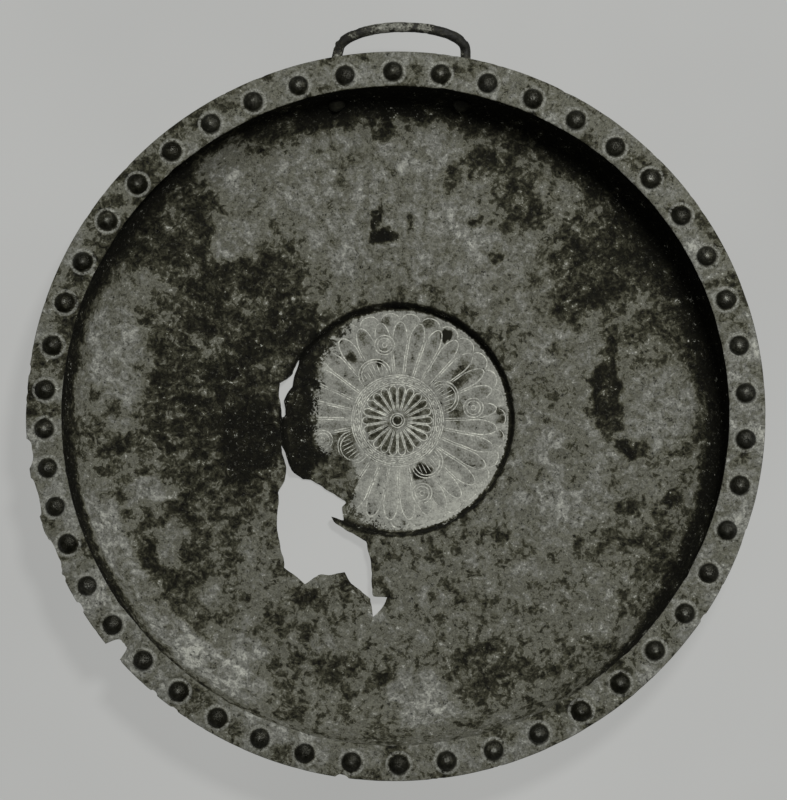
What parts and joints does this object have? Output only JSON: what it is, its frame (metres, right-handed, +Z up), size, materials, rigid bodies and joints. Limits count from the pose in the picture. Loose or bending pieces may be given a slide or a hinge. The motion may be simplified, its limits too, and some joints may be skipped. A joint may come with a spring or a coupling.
{
  "type": "bossed-rim basin with handle",
  "caption": "Shallow round hammered bronze basin: bossed flat rim, curved wall, disc foot with an engraved rosette, one riveted loop handle; broken through beside the foot.",
  "frame": {"origin": "centre of the disc foot's underside, which the basin stands on", "axes": "+Z up out of the open basin, +Y from the centre towards the handle, +X to the right of the handle"},
  "size_m": [0.3236, 0.3349, 0.0412],
  "materials": {
    "patinated_sheet": "mottled matt patina",
    "handle_bronze": "dark patina, rubbed",
    "rivet_bronze": "dark patina"
  },
  "bodies": {
    "root": {"dish": "patinated_sheet", "handle": "handle_bronze", "rivet_left": "rivet_bronze", "rivet_right": "rivet_bronze"}
  },
  "joints": []
}
